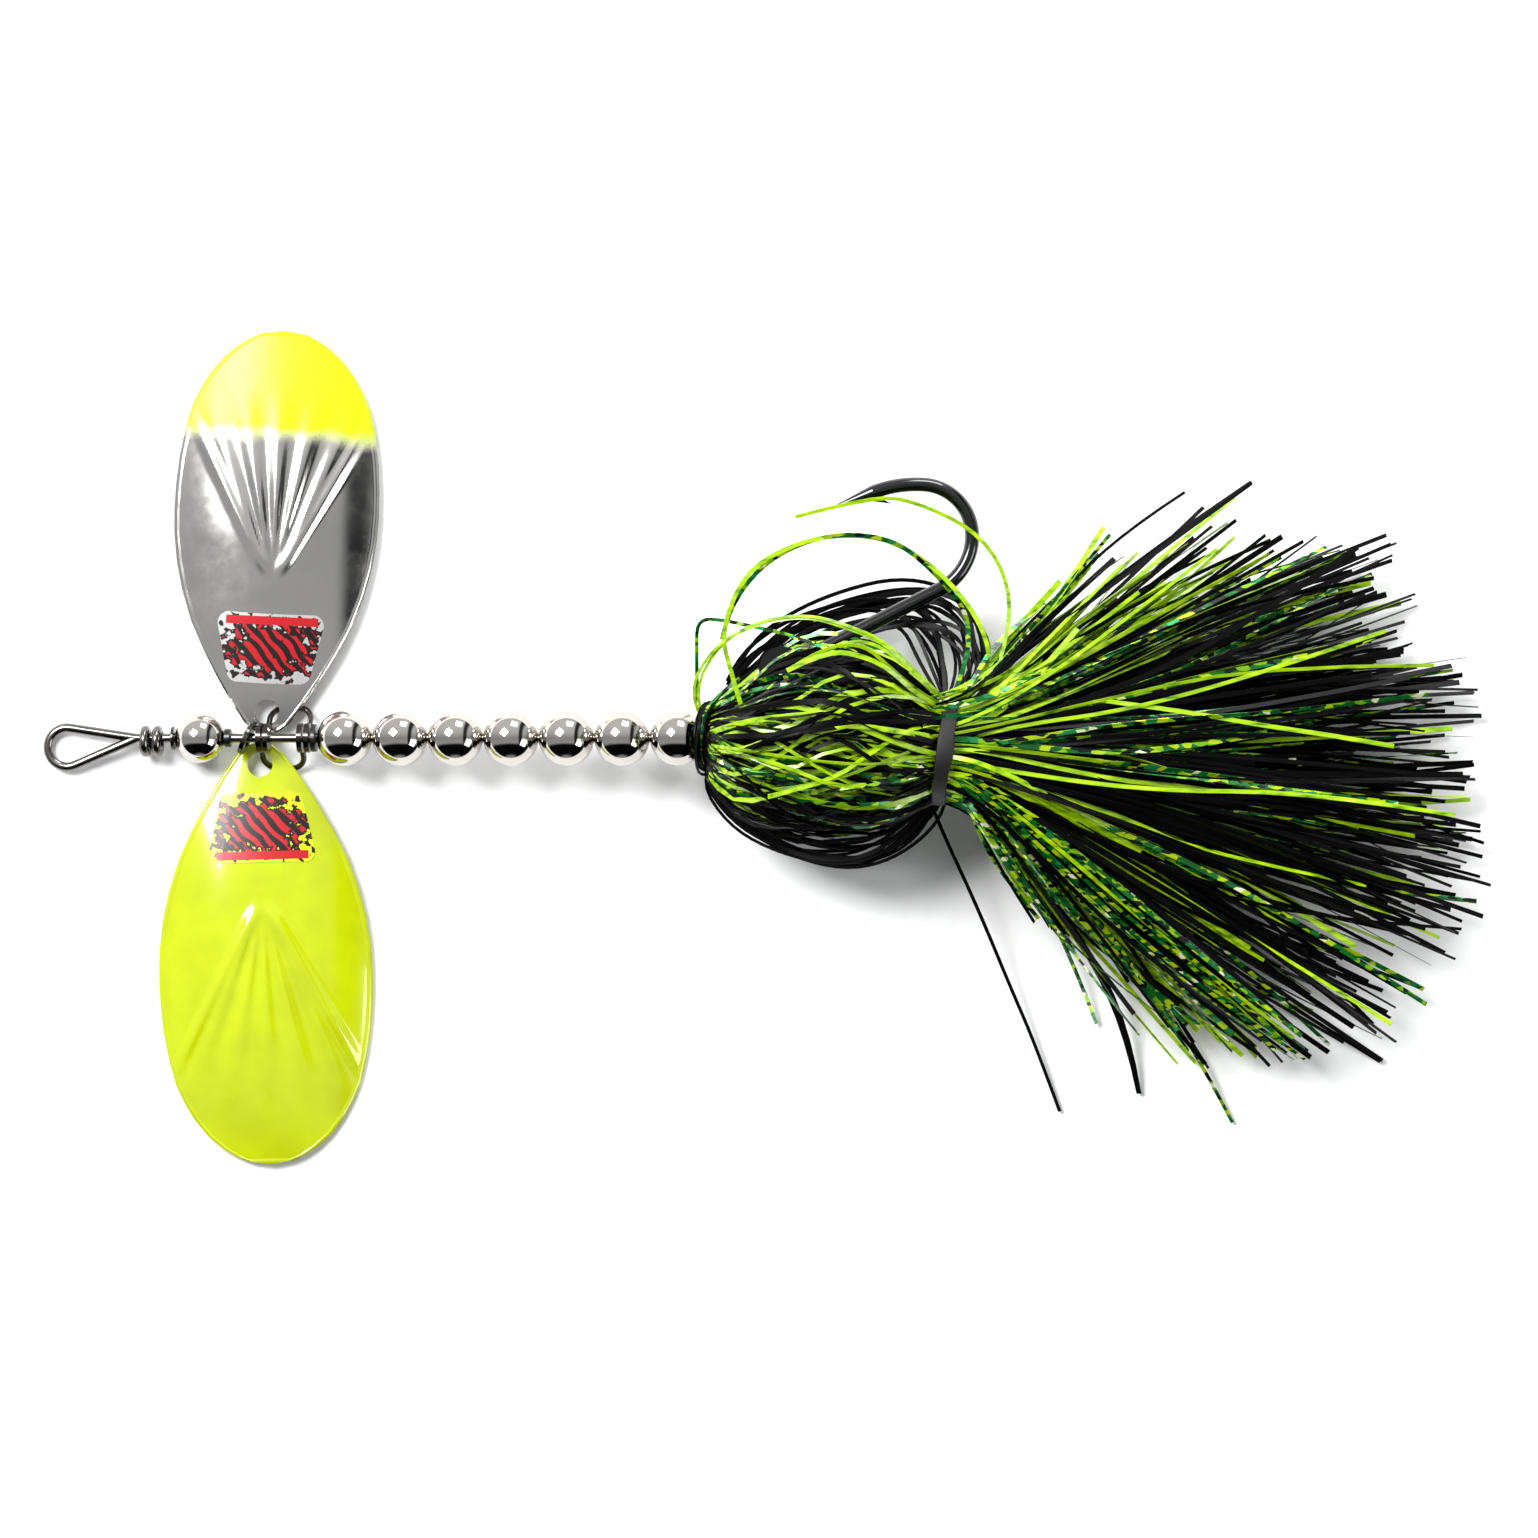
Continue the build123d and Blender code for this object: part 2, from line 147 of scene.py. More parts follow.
def finish_mesh(obj: bpy.types.Object, flat_from: float, weld_mm: float = 0.0) -> None:
    """Welds close points, faces the mesh outwards, and shades it smooth up to an angle.

    Args:
        obj: the piece.
        flat_from: edges that turn more than this many degrees stay sharp.
        weld_mm: points closer than this become one; 0 leaves them.
    """
    select_only(obj)
    bpy.ops.object.mode_set(mode="EDIT")
    bpy.ops.mesh.select_all(action="SELECT")
    if weld_mm:
        bpy.ops.mesh.remove_doubles(threshold=weld_mm * MM)
    bpy.ops.mesh.normals_make_consistent(inside=False)
    bpy.ops.object.mode_set(mode="OBJECT")
    bpy.ops.object.shade_smooth_by_angle(angle=math.radians(flat_from))


def paint(obj: bpy.types.Object, *materials: bpy.types.Material) -> None:
    """Replaces obj's material slots by these materials."""
    obj.data.materials.clear()
    for material in materials:
        obj.data.materials.append(material)


def mix(low: float, high: float, share: float) -> float:
    """The value that lies share of the way from low to high."""
    return low + (high - low) * share


def smooth(share: float) -> float:
    """Eases a share from 0 to 1, and holds it outside them."""
    share = max(0.0, min(1.0, share))
    return share * share * (3 - 2 * share)


def along_pairs(pairs: Iterable[tuple[float, float]], where: float) -> float:
    """Reads a value off a line drawn through (place, value) pairs.

    Args:
        pairs: the pairs, by rising place.
        where: the place to read at; outside the pairs the nearest value holds.

    Returns:
        The value there.
    """
    known = list(pairs)
    if where <= known[0][0]:
        return known[0][1]
    for (a, va), (b, vb) in zip(known, known[1:]):
        if where <= b:
            return mix(va, vb, (where - a) / (b - a))
    return known[-1][1]


# --- finishes ------------------------------------------------------------------------------------
@dataclass(frozen=True)
class PolishedMetal:
    """Plated or bare steel, tumbled bright; faint handling marks break its reflections."""

    name: str
    colour: str
    roughness: float = 0.08
    mark_mm: float = 2.5
    mark_depth: float = 0.012

    def material(self) -> bpy.types.Material:
        """Builds the metal."""
        made, tree, shader, here = start_material(self.name)
        shader.inputs["Base Color"].default_value = linear(self.colour)
        shader.inputs["Metallic"].default_value = 1.0
        marks = add_node(
            tree, "TexNoise", values={"Scale": 1 / (self.mark_mm * MM), "Detail": 5.0, "Roughness": 0.6},
            links={"Vector": here},
        )
        spread = add_node(
            tree, "MapRange",
            values={"From Min": 0.3, "From Max": 0.75, "To Min": self.roughness, "To Max": self.roughness * 2.2},
            links={"Value": marks},
        )
        tree.links.new(spread.outputs["Result"], shader.inputs["Roughness"])
        bump = add_node(
            tree, "Bump", values={"Strength": self.mark_depth, "Distance": 0.2 * MM}, links={"Height": marks}
        )
        tree.links.new(bump.outputs["Normal"], shader.inputs["Normal"])
        return made


@dataclass(frozen=True)
class GlossCoat:
    """A smooth gloss coat such as baked enamel, moulded plastic or, with a high roughness, rubber."""

    name: str
    colour: str
    shade: str
    roughness: float = 0.15
    coat: float = 0.6
    patch_mm: float = 6.0
    ripple: float = 0.05

    def material(self) -> bpy.types.Material:
        """Builds the coat, with slow drifts between its two colours and a faint orange peel."""
        made, tree, shader, here = start_material(self.name)
        shader.inputs["Roughness"].default_value = self.roughness
        shader.inputs["Coat Weight"].default_value = self.coat
        shader.inputs["Coat Roughness"].default_value = 0.04
        drift = add_node(
            tree, "TexNoise", values={"Scale": 1 / (self.patch_mm * MM), "Detail": 4.0}, links={"Vector": here}
        )
        tint = add_node(
            tree, "ValToRGB", links={"Fac": drift},
            stops=[(0.35, linear(self.shade)), (0.65, linear(self.colour))],
        )
        tree.links.new(tint.outputs["Color"], shader.inputs["Base Color"])
        peel = add_node(tree, "TexNoise", values={"Scale": 1 / (0.9 * MM), "Detail": 2.0}, links={"Vector": here})
        bump = add_node(
            tree, "Bump", values={"Strength": self.ripple, "Distance": 0.1 * MM}, links={"Height": peel}
        )
        tree.links.new(bump.outputs["Normal"], shader.inputs["Normal"])
        return made


@dataclass(frozen=True)
class SprayedNickel:
    """Bright nickel plate with a chartreuse spray at the blade's tip, speckled where the spray fades."""

    name: str
    metal: str
    spray: str
    fade_start_y: float
    fade_end_y: float
    speck_mm: float = 0.45
    spray_roughness: float = 0.36
    lean: float = 0.06
    middle_x: float = -71.0

    def material(self) -> bpy.types.Material:
        """Builds the plate and its sprayed tip."""
        made, tree, shader, here = start_material(self.name)
        split = add_node(tree, "SeparateXYZ", links={"Vector": here})
        waves = add_node(tree, "TexNoise", values={"Scale": 1 / (5.0 * MM), "Detail": 2.0}, links={"Vector": here})
        wander = add_node(
            tree, "MapRange", values={"To Min": -1.3 * MM, "To Max": 1.3 * MM}, links={"Value": waves}
        )
        lean = add_node(
            tree, "Math", {"operation": "MULTIPLY_ADD"}, {1: self.lean, 2: -self.lean * self.middle_x * MM},
            links={0: split.outputs["X"]},
        )
        height = add_node(tree, "Math", {"operation": "ADD"}, links={0: split.outputs["Y"], 1: wander})
        leaned = add_node(tree, "Math", {"operation": "ADD"}, links={0: height, 1: lean})
        fade = add_node(
            tree, "MapRange", {"interpolation_type": "SMOOTHSTEP"},
            {"From Min": (self.fade_start_y + MIDLINE.y) * MM, "From Max": (self.fade_end_y + MIDLINE.y) * MM},
            links={"Value": leaned},
        )
        specks = add_node(
            tree, "TexNoise", values={"Scale": 1 / (self.speck_mm * MM), "Detail": 1.0}, links={"Vector": here}
        )
        dust = add_node(
            tree, "MapRange", values={"From Min": 0.3, "From Max": 0.7, "To Min": -0.22, "To Max": 0.22},
            links={"Value": specks},
        )
        cover = add_node(tree, "Math", {"operation": "MULTIPLY_ADD", "use_clamp": True}, {1: 1.0}, links={0: fade})
        middle = add_node(tree, "Math", {"operation": "PINGPONG"}, {1: 0.5}, links={0: fade})
        ragged = add_node(tree, "Math", {"operation": "MULTIPLY"}, links={0: middle, 1: dust})
        tree.links.new(ragged.outputs["Value"], cover.inputs[2])
        tint = add_node(
            tree, "Mix", {"data_type": "RGBA"}, {6: linear(self.metal), 7: linear(self.spray)}, links={0: cover}
        )
        tree.links.new(tint.outputs[2], shader.inputs["Base Color"])
        shine = add_node(tree, "MapRange", values={"To Min": 1.0, "To Max": 0.0}, links={"Value": cover})
        tree.links.new(shine.outputs["Result"], shader.inputs["Metallic"])
        smudge = add_node(
            tree, "TexNoise", values={"Scale": 1 / (9.0 * MM), "Detail": 6.0, "Roughness": 0.7},
            links={"Vector": here},
        )
        dull = add_node(
            tree, "MapRange", values={"From Min": 0.35, "From Max": 0.75, "To Min": 0.1, "To Max": 0.24},
            links={"Value": smudge},
        )
        skin = add_node(tree, "Mix", values={3: self.spray_roughness}, links={0: cover, 2: dull})
        tree.links.new(skin.outputs[0], shader.inputs["Roughness"])
        return made


@dataclass(frozen=True)
class PrintedFilm:
    """A clear printed sticker: dark splashes and plain red bars over the blade's own colour, with a pale rim."""

    name: str
    ground: str
    metallic: float
    centre: tuple[float, float]
    lean: float
    ink: str = "#160A0A"
    red: str = "#B3121C"

    def material(self) -> bpy.types.Material:
        """Builds the film; the print is a plain wavy blotch, with no lettering."""
        made, tree, shader, here = start_material(self.name)
        shader.inputs["Roughness"].default_value = 0.34
        shader.inputs["Coat Weight"].default_value = 0.1
        seat = add_node(
            tree, "Mapping", {"vector_type": "TEXTURE"},
            {
                "Location": (self.centre[0] * MM, (self.centre[1] + MIDLINE.y) * MM, 0),
                "Rotation": (0, 0, math.radians(self.lean)), "Scale": (MM, MM, MM),
            },
            links={"Vector": here},
        )
        split = add_node(tree, "SeparateXYZ", links={"Vector": seat})
        oval = add_node(tree, "Mapping", values={"Scale": (1 / 8.2, 1 / 4.6, 0)}, links={"Vector": seat})
        out = add_node(tree, "VectorMath", {"operation": "LENGTH"}, links={0: oval})
        splash = add_node(tree, "TexNoise", values={"Scale": 0.9, "Detail": 3.0}, links={"Vector": seat})
        edge = add_node(
            tree, "Math", {"operation": "MULTIPLY_ADD"}, {1: 2.2}, links={0: splash, 2: out.outputs["Value"]}
        )
        blot = add_node(
            tree, "MapRange", values={"From Min": 2.02, "From Max": 2.08, "To Min": 1.0, "To Max": 0.0},
            links={"Value": edge},
        )
        wave = add_node(
            tree, "TexWave", {"bands_direction": "DIAGONAL"}, {"Scale": 0.32, "Distortion": 2.6, "Detail": 1.0},
            links={"Vector": seat},
        )
        stripes = add_node(
            tree, "MapRange", values={"From Min": 0.5, "From Max": 0.56}, links={"Value": wave.outputs["Fac"]}
        )
        inner = add_node(
            tree, "MapRange", values={"From Min": 1.78, "From Max": 1.82, "To Min": 1.0, "To Max": 0.0},
            links={"Value": edge},
        )
        red_in = add_node(tree, "Math", {"operation": "MULTIPLY"}, links={0: stripes, 1: inner})
        dark = add_node(
            tree, "Mix", {"data_type": "RGBA"}, {6: linear(self.ground), 7: linear(self.ink)}, links={0: blot}
        )
        inked = add_node(
            tree, "Mix", {"data_type": "RGBA"}, {7: linear(self.red)}, links={0: red_in, 6: dark.outputs[2]}
        )
        bar = add_node(tree, "Math", {"operation": "COMPARE"}, {1: -3.9, 2: 0.6}, links={0: split.outputs["Y"]})
        reach = add_node(tree, "Math", {"operation": "COMPARE"}, {1: 0.0, 2: 6.6}, links={0: split.outputs["X"]})
        rule = add_node(tree, "Math", {"operation": "MULTIPLY"}, links={0: bar, 1: reach})
        barred = add_node(
            tree, "Mix", {"data_type": "RGBA"}, {7: linear(self.red)}, links={0: rule, 6: inked.outputs[2]}
        )
        tree.links.new(barred.outputs[2], shader.inputs["Base Color"])
        covered = add_node(tree, "Math", {"operation": "MAXIMUM"}, links={0: blot, 1: rule})
        metal = add_node(
            tree, "MapRange", values={"To Min": self.metallic, "To Max": 0.0}, links={"Value": covered}
        )
        tree.links.new(metal.outputs["Result"], shader.inputs["Metallic"])
        return made


@dataclass(frozen=True)
class FlashFilm:
    """Slit plastic film strands; a foil has hard-edged patches, of colour and of painted facet shade and glints, a
    plain film soft ones.
    """

    name: str
    colours: tuple[tuple[float, str], ...]
    patch_mm: tuple[float, float]
    metallic: float = 0.0
    roughness: float = 0.3
    coat: float = 0.3
    specular: float = 0.5
    hard: bool = False

    def material(self) -> bpy.types.Material:
        """Builds the film; its patches are drawn longer along the lure than across it."""
        made, tree, shader, here = start_material(self.name)
        shader.inputs["Metallic"].default_value = self.metallic
        shader.inputs["Roughness"].default_value = self.roughness
        shader.inputs["Coat Weight"].default_value = self.coat
        shader.inputs["Specular IOR Level"].default_value = self.specular
        length, across = self.patch_mm
        stretch = add_node(
            tree, "Mapping", values={"Scale": (1 / (length * MM), 1 / (across * MM), 1 / (across * MM))},
            links={"Vector": here},
        )
        if self.hard:
            cells = add_node(tree, "TexVoronoi", values={"Scale": 1.0}, links={"Vector": stretch})
            pick = add_node(tree, "SeparateColor", links={"Color": cells.outputs["Color"]}).outputs[0]
        else:
            pick = add_node(
                tree, "TexNoise", values={"Scale": 1.0, "Detail": 3.0}, links={"Vector": stretch}
            ).outputs["Fac"]
        tint = add_node(
            tree, "ValToRGB", links={"Fac": pick},
            stops=[(position, linear(colour)) for position, colour in self.colours],
        )
        tint.color_ramp.interpolation = "CONSTANT" if self.hard else "LINEAR"
        tree.links.new(tint.outputs["Color"], shader.inputs["Base Color"])
        return made


# Polished nickel plate: a warm pale mirror.
BRIGHT_NICKEL = PolishedMetal("polished_nickel_plate", "#C9C4BE", 0.05)
# Black nickel: the same mirror, smoked; wire, clevises and the split ring.
BLACK_NICKEL = PolishedMetal("black_nickel_wire", "#4E4A47", 0.1)
# Spring-steel shaft wire, drawn and tumbled: between the two.
STEEL_WIRE = PolishedMetal("drawn_steel_wire", "#77736F", 0.12)
# Two-part chartreuse enamel over nickel: a wet-looking solid yellow-green.
CHARTREUSE = GlossCoat("chartreuse_enamel", "#B8C800", "#AEBC00", 0.14, 1.0)
# Black hook enamel, baked over steel: nearly black with sharp long glints.
HOOK_BLACK = GlossCoat("black_hook_enamel", "#050506", "#030303", 0.14, 0.5, 3.0, 0.08)
# Moulded black plastic of the spacer washers.
SPACER_BLACK = GlossCoat("black_plastic_spacer", "#0D0D0E", "#070708", 0.3, 0.2)
# Vulcanised rubber of the skirt band: dull, with a soft grey sheen.
BAND_RUBBER = GlossCoat("black_band_rubber", "#040404", "#020202", 0.6, 0.0, 1.6, 0.4)
# Waxed nylon tying thread, wound tight.
THREAD = GlossCoat("waxed_black_thread", "#101011", "#1B1B1D", 0.55, 0.0, 0.6, 0.5)
# Bright nickel whose tip is sprayed with the same chartreuse: a dusty edge between mirror and satin paint.
SPRAYED = SprayedNickel("nickel_with_sprayed_tip", "#DEDBD6", "#C6D800", 41.6, 45.0)
# Clear polyester film with a plain red and black print; the blade's own colour shows round it.
LABEL_ON_CHARTREUSE = PrintedFilm("clear_film_on_enamel", "#CBDA0A", 0.0, (-73.4, -12.9), 1.5)
LABEL_ON_NICKEL = PrintedFilm("clear_film_on_nickel", "#D9D8D5", 0.6, (-72.1, 12.9), 177.3)
# Black flash film: opaque, with long dull glints.
BLACK_FILM = FlashFilm("black_flash_film", ((0.3, "#010101"), (0.7, "#050505")), (9.0, 1.2), 0.0, 0.34, 0.0, 0.1)
# Chartreuse film: dyed right through, in soft random patches from deep green to pale yellow-green.
CHARTREUSE_FILM = FlashFilm(
    "chartreuse_flash_film",
    ((0.28, "#3F6A00"), (0.42, "#86B404"), (0.6, "#A9D20A"), (0.8, "#D3F23A")),
    (6.0, 0.9),
    0.0,
    0.28,
    0.3,
)
# Crushed green foil film: hard patches of emerald, yellow and teal, partly its own tints and partly painted facet
# reflections; the near-black patches are painted shade in its folds, the near-white ones painted glints.
FOIL_FILM = FlashFilm(
    "crushed_green_foil_film_with_painted_facet_light",
    (
        # near-black: painted shade in the folds
        (0.0, "#03140A"),
        (0.22, "#0A5C1E"),
        (0.44, "#7FBA0C"),
        (0.58, "#0B6F22"),
        (0.74, "#B9D814"),
        (0.88, "#1B8A4A"),
        # near-white: painted glint
        (0.97, "#F4F8C8"),
    ),
    (1.5, 0.6),
    0.5,
    0.22,
    0.3,
    0.5,
    True,
)


class StrandKind(Enum):
    """The three films of the skirt; the value is the material's place on a bundle."""

    BLACK = 0
    CHARTREUSE = 1
    FOIL = 2


@dataclass
class Strand:
    """One flat strand of film, as a smooth run through a few points."""

    route: list[Vector]
    kind: StrandKind
    width: float = 1.0
    roll: float = 0.0
    curl: float = 0.0


@dataclass
class StrandFilms:
    """Lays strands as flat ribbons and makes one mesh of each group."""

    width: float = 1.1
    thickness: float = 0.11
    materials: list[bpy.types.Material] = field(default_factory=list)

    def __post_init__(self) -> None:
        """Builds the three films once, for every group to share."""
        self.materials = [film.material() for film in (BLACK_FILM, CHARTREUSE_FILM, FOIL_FILM)]

    def lay(self, name: str, strands: list[Strand], steps: int) -> bpy.types.Object:
        """Makes one piece of a group of strands.

        Args:
            name: the piece's name.
            strands: the strands to lay.
            steps: how finely each run between two points is drawn.

        Returns:
            The mesh object, at the origin.
        """
        curve = bpy.data.curves.new(name, "CURVE")
        curve.dimensions = "3D"
        curve.twist_mode = "Z_UP"
        curve.resolution_u = steps
        curve.extrude = (self.width - self.thickness) / 2 * MM
        curve.bevel_depth = self.thickness / 2 * MM
        curve.bevel_resolution = 0
        curve.use_fill_caps = True
        for material in self.materials:
            curve.materials.append(material)
        for strand in strands:
            spline = curve.splines.new("NURBS")
            spline.points.add(len(strand.route) - 1)
            spline.material_index = strand.kind.value
            last = len(strand.route) - 1
            for i, (point, place) in enumerate(zip(spline.points, strand.route)):
                point.co = (*((place + MIDLINE) * MM), 1)
                point.radius = strand.width
                point.tilt = math.pi / 2 + strand.roll + strand.curl * i / last
            spline.order_u = 3
            spline.use_endpoint_u = True
        piece = bpy.data.objects.new(name, curve)
        bpy.context.collection.objects.link(piece)
        select_only(piece)
        bpy.ops.object.convert(target="MESH")
        bpy.ops.object.shade_smooth_by_angle(angle=math.radians(40))
        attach(piece, "shaft")
        return piece


# --- blades --------------------------------------------------------------------------------------
@dataclass
class Blade:
    """One pressed blade: an egg-shaped dished sheet with a fan of flutes, a rolled rim and a hole."""

    name: str
    hole: Vector
    along: Vector
    normal: Vector
    finish: bpy.types.Material
    length: float = 59.7
    half_width: float = 15.35
    small_end: float = 3.45
    thickness: float = 0.55
    hole_radius: float = 1.8
    arc_along: float = 143.0
    arc_across: float = 33.0
    fan_start: float = 19.2
    fan_half_angle: float = 29.0
    fan_length: float = 31.0
    fence_width: float = 1.5
    flutes: int = 5
    flute_depth: float = 0.5
    rim_width: float = 0.75
    rim_height: float = 0.1
    rows: int = 260
    columns: int = 150

    def half_width_at(self, run: float) -> float:
        """The outline's half width, run of the way from the small end to the tip."""
        outline = (
            (0.0, 0.0), (0.01, 0.115), (0.03, 0.215), (0.085, 0.367), (0.15, 0.523), (0.21, 0.655),
            (0.275, 0.782), (0.35, 0.885), (0.42, 0.952), (0.49, 0.99), (0.55, 1.0), (0.61, 0.995),
            (0.68, 0.972), (0.75, 0.925), (0.81, 0.862), (0.85, 0.79), (0.89, 0.7), (0.93, 0.575), (0.96, 0.44),
            (0.98, 0.315), (0.993, 0.185), (1.0, 0.0),
        )
        return along_pairs(outline, run) * self.half_width

    def flute_at(self, u: float, v: float) -> float:
        """How far a flute stands off the dished sheet.

        Args:
            u: distance from the hole towards the tip.
            v: distance from the centre line.

        Returns:
            The height, positive outwards.
        """
        down = u - self.fan_start
        far = math.hypot(down, v)
        half = math.radians(self.fan_half_angle)
        angle = math.atan2(abs(v), down)
        off_edge = far * math.sin(min(abs(angle - half), math.pi / 2))
        fade = smooth((self.fan_length - far) / 12.0) * smooth(far / 4.5)
        fence = (1 + math.cos(math.pi * min(1.0, off_edge / self.fence_width))) / 2
        inside = smooth((half - angle) * far / self.fence_width)
        wave = math.cos(angle / half * math.pi * self.flutes) * smooth((far - 2.5) / 9.0)
        return self.flute_depth * fade * (fence * 0.85 + inside * (0.1 + 0.42 * wave))

    def place(self, u: float, v: float, edge: float) -> Vector:
        """Where a point of the sheet's outer face lies.

        Args:
            u: distance from the hole towards the tip.
            v: distance from the centre line.
            edge: distance in from the outline.

        Returns:
            The point, in millimetres.
        """
        across = math.sqrt(self.arc_across**2 - v * v) - self.arc_across
        height = math.sqrt((self.arc_along + across) ** 2 - u * u) - self.arc_along
        height += self.flute_at(u, v)
        if edge < self.rim_width:
            height += self.rim_height * math.sin(math.pi * edge / self.rim_width)
        side = self.along.cross(self.normal)
        return self.hole + self.along * u + side * v + self.normal * (height + self.thickness / 2)

    def build(self) -> bpy.types.Object:
        """Models the blade.

        Returns:
            The finished blade, riding on its body.
        """
        bpy.ops.mesh.primitive_grid_add(x_subdivisions=self.columns, y_subdivisions=self.rows, size=2)
        piece = bpy.context.active_object
        piece.name = self.name
        for vertex in piece.data.vertices:
            run = (vertex.co.y + 1) / 2
            run = 0.5 - 0.5 * math.cos(math.pi * run)
            u = -self.small_end + run * self.length
            half = max(self.half_width_at(run), 0.03)
            share = math.sin(vertex.co.x * math.pi / 2)
            v = share * half
            end = min(run, 1 - run) * self.length
            vertex.co = self.place(u, v, min(half - abs(v), end)) * MM
        wall = piece.modifiers.new("wall", "SOLIDIFY")
        wall.thickness = self.thickness * MM
        wall.offset = -1
        wall.use_even_offset = True
        apply_modifiers(piece)
        self.punch(piece)
        finish_mesh(piece, 50, weld_mm=0.004)
        paint(piece, self.finish)
        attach(piece, self.name.removesuffix("_pressed"))
        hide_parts(self.name.removesuffix("_pressed"))
        return piece

    def punch(self, piece: bpy.types.Object) -> None:
        """Cuts the clevis hole through the sheet with a round punch."""
        bpy.ops.mesh.primitive_cylinder_add(vertices=64, radius=self.hole_radius * MM, depth=8 * MM)
        punch = bpy.context.active_object
        side = self.normal.cross(self.along)
        turn = Matrix((self.along, side, self.normal)).transposed().to_4x4()
        punch.matrix_world = Matrix.Translation(self.hole * MM) @ turn
        cut = piece.modifiers.new("hole", "BOOLEAN")
        cut.object = punch
        cut.operation = "DIFFERENCE"
        apply_modifiers(piece)
        bpy.data.objects.remove(punch)


@dataclass
class BladePair:
    """The chartreuse blade on one side and the nickel blade, with its sprayed tip, on the other."""

    def build(self) -> list[bpy.types.Object]:
        """Models both blades where their clevises hold them."""
        chartreuse = Blade(
            "blade_chartreuse_pressed",
            Vector((-73.719, -3.8, 2.049)) + MIDLINE,
            Vector((0.0257, -0.98195, 0.18738)),
            Vector((-0.0049, 0.18732, 0.98229)),
            CHARTREUSE.material(),
        )
        nickel = Blade(
            "blade_nickel_pressed",
            Vector((-72.719, 3.8, 2.172)) + MIDLINE,
            Vector((0.04627, 0.9812, 0.18738)),
            Vector((-0.00883, -0.18717, 0.98229)),
            SPRAYED.material(),
            length=57.2,
            half_width=14.7,
            fan_start=18.4,
            fan_length=29.7,
            flute_depth=0.5,
        )
        pieces = [chartreuse.build(), nickel.build()]
        return pieces


# --- skirt ---------------------------------------------------------------------------------------
@dataclass
class SkirtBand:
    """The flat rubber band that gathers the skirt, stretched round the strands and leaning a little."""

    centre: Vector = field(default_factory=lambda: Vector((24.1, -1.8, 16.8)))
    half_across: float = 7.2
    half_high: float = 8.4
    width: float = 2.2
    thickness: float = 0.7
    lean: float = 7.8

    def build(self) -> bpy.types.Object:
        """Models the band.

        Returns:
            The finished band, riding on the shaft.
        """
        bpy.ops.mesh.primitive_cylinder_add(
            vertices=96, radius=1, depth=self.width * MM, end_fill_type="NOTHING", rotation=(0, math.pi / 2, 0)
        )
        piece = bpy.context.active_object
        piece.name = "elastic_band_stretched"
        select_only(piece)
        bpy.ops.object.transform_apply(location=False, rotation=True, scale=True)
        for vertex in piece.data.vertices:
            vertex.co.y *= self.half_across * MM
            vertex.co.z *= self.half_high * MM
            ripple = noise.noise(vertex.co / (5 * MM))
            vertex.co.y *= 1 + 0.05 * ripple
            vertex.co.x += 0.35 * MM * noise.noise(vertex.co / (4 * MM) + Vector((7, 3, 1)))
        wall = piece.modifiers.new("wall", "SOLIDIFY")
        wall.thickness = self.thickness * MM
        wall.offset = 1
        soft = piece.modifiers.new("soft", "BEVEL")
        soft.width = 0.22 * MM
        soft.segments = 3
        soft.limit_method = "ANGLE"
        apply_modifiers(piece)
        piece.data.transform(
            Matrix.Translation((self.centre + MIDLINE) * MM) @ Matrix.Rotation(math.radians(-self.lean), 4, "Z")
        )
        finish_mesh(piece, 35)
        paint(piece, BAND_RUBBER.material())
        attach(piece, "shaft")
        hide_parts("elastic_band")
        return piece


